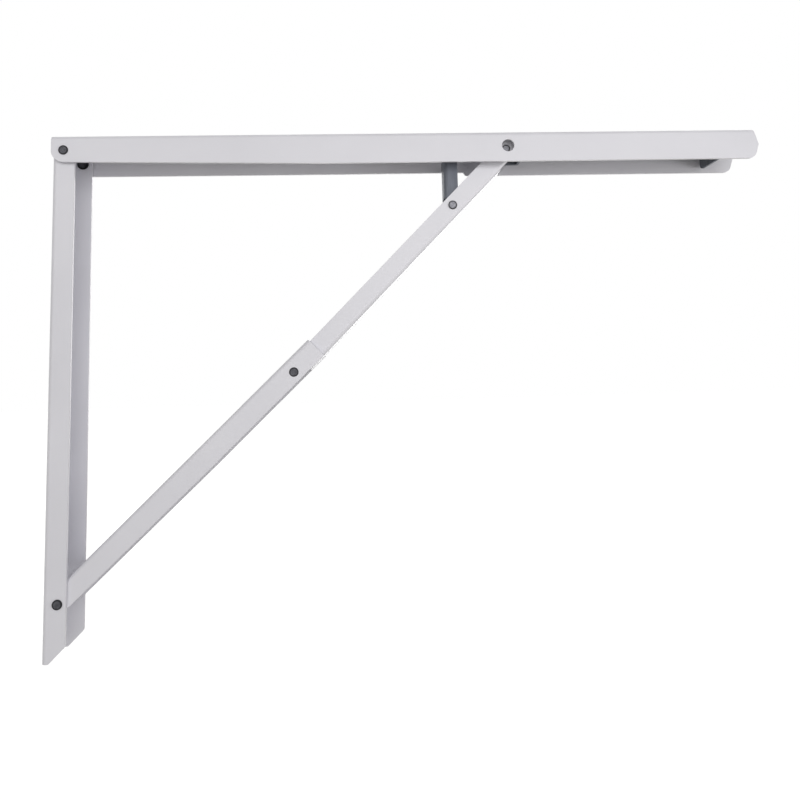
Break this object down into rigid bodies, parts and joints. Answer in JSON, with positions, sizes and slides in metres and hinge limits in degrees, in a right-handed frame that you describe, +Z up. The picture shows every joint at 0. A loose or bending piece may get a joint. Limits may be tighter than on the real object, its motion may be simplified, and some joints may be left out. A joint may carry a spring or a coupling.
{
  "type": "folding bracket",
  "caption": "Folding shelf bracket: a channel arm hinged to a wall leg, held by a jointed strut with a catch and a finger release under the arm.",
  "frame": {"origin": "middle of the two wall screw holes, on the wall plane", "axes": "+X out from the wall along the arm, +Z up, Y across the bracket"},
  "size_m": [0.4, 0.031, 0.28],
  "materials": {
    "white_paint": "smooth white powder coat",
    "dark_steel": "dark blue-grey plated steel, satin",
    "rivet_steel": "dull zinc-plated steel",
    "spring_wire": "drawn spring wire"
  },
  "bodies": {
    "wall_leg": {"wall_leg": "white_paint", "hinge_rivet_tails": "rivet_steel", "hinge_washers": "rivet_steel", "foot_rivets": "rivet_steel"},
    "lower_strut": {"lower_strut": "white_paint", "knee_rivet": "rivet_steel", "knee_washers": "rivet_steel"},
    "upper_strut": {"upper_strut": "white_paint", "catch_rivet": "rivet_steel"},
    "catch": {"catch": "dark_steel", "catch_spring": "spring_wire"},
    "shelf_arm": {"shelf_arm": "white_paint", "strut_bracket": "dark_steel", "strip_guide_rivets": "rivet_steel", "hinge_rivet_heads": "rivet_steel", "strut_pin": "rivet_steel"},
    "release_strip": {"release_strip": "dark_steel", "return_spring": "spring_wire"}
  },
  "joints": [
    {"name": "strut_swing", "type": "hinge", "parent": "wall_leg", "child": "lower_strut", "pos_m": [0.0078, 0, -0.0877], "axis": [0, 1, 0], "range_deg": [-46.1, 0]},
    {"name": "knee_turn", "type": "hinge", "parent": "lower_strut", "child": "upper_strut", "pos_m": [0.13122, 0, 0.02941], "axis": [0, 1, 0], "range_deg": [0, 178.2]},
    {"name": "arm_fold", "type": "hinge", "parent": "upper_strut", "child": "shelf_arm", "pos_m": [0.254, 0, 0.1543], "axis": [0, 1, 0], "range_deg": [-45.1, 0]},
    {"name": "catch_turn", "type": "hinge", "parent": "upper_strut", "child": "catch", "pos_m": [0.22203, 0, 0.12178], "axis": [0, 1, 0], "range_deg": [0, 44.7]},
    {"name": "release_slide", "type": "slide", "parent": "shelf_arm", "child": "release_strip", "axis": [1, 0, 0], "range_m": [0, 0.006], "stiffness_N_per_m": 300, "springref_m": -0.002}
  ],
  "couplings": [
    {"joint": "knee_turn", "follows": "strut_swing", "ratio": -3.8614},
    {"joint": "arm_fold", "follows": "strut_swing", "ratio": 0.97419},
    {"joint": "catch_turn", "follows": "strut_swing", "ratio": -0.96554}
  ]
}
